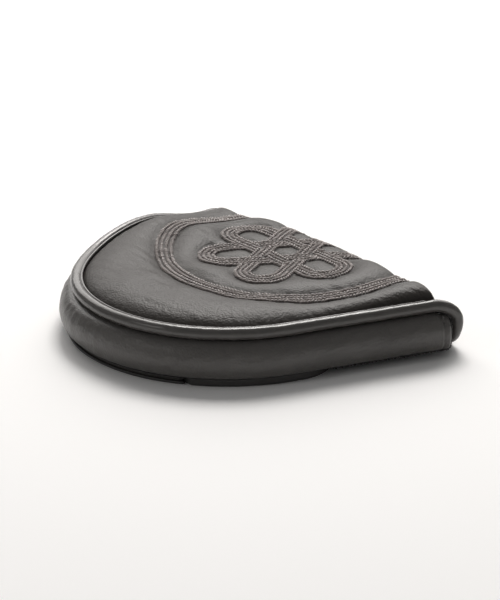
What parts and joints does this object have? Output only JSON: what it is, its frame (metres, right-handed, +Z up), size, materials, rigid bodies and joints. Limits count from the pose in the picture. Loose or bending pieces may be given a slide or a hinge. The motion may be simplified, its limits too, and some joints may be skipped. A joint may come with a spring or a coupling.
{
  "type": "putter head cover",
  "caption": "Padded leather cover for a mallet putter head, with a piped top, a bulged side wall, a front lip and a hinged magnetic flap below.",
  "frame": {"origin": "middle of the footprint, on the surface that the cover stands on", "axes": "+Z up, -Y towards the closed nose, +Y towards the mouth, X across from toe to heel"},
  "size_m": [0.1294, 0.1208, 0.0222],
  "materials": {
    "outer_leather": "soft satin grain, charcoal black",
    "piping_leather": "smooth satin, charcoal black",
    "embroidery_thread": "dense taupe-grey embroidery thread",
    "fleece_lining": "black sherpa fleece",
    "quilting_foam": "open-cell padding",
    "backing_cloth": "non-woven backing",
    "piping_cord": "twisted filler cord",
    "stiffening_board": "flexible fibre board",
    "magnet": "nickel-plated disc magnet"
  },
  "bodies": {
    "cover": {"bottom_rear_board": "stiffening_board", "bottom_rear_lining": "fleece_lining", "bottom_rear_panel": "outer_leather", "lining_fringe": "fleece_lining", "lower_welt": "outer_leather", "magnet_tab_covers": "fleece_lining", "magnet_tabs": "outer_leather", "motif_embroidery": "embroidery_thread", "piping_cord": "piping_cord", "piping_cover": "piping_leather", "piping_flange": "piping_leather", "ring_embroidery": "embroidery_thread", "side_wall": "outer_leather", "top_backing": "backing_cloth", "top_foam": "quilting_foam", "top_lining": "fleece_lining", "top_panel": "outer_leather", "wall_foam": "quilting_foam", "wall_hem_heel": "outer_leather", "wall_hem_toe": "outer_leather", "wall_lining": "fleece_lining", "wall_magnets": "magnet"},
    "flap": {"flap_binding": "outer_leather", "flap_panel": "outer_leather", "flap_stiffener": "stiffening_board", "flap_magnets": "magnet", "flap_lining": "fleece_lining"}
  },
  "joints": [
    {"name": "flap_hinge", "type": "hinge", "parent": "cover", "child": "flap", "pos_m": [0, -0.0467, 0], "axis": [-1, 0, 0], "range_deg": [0, 170]}
  ]
}
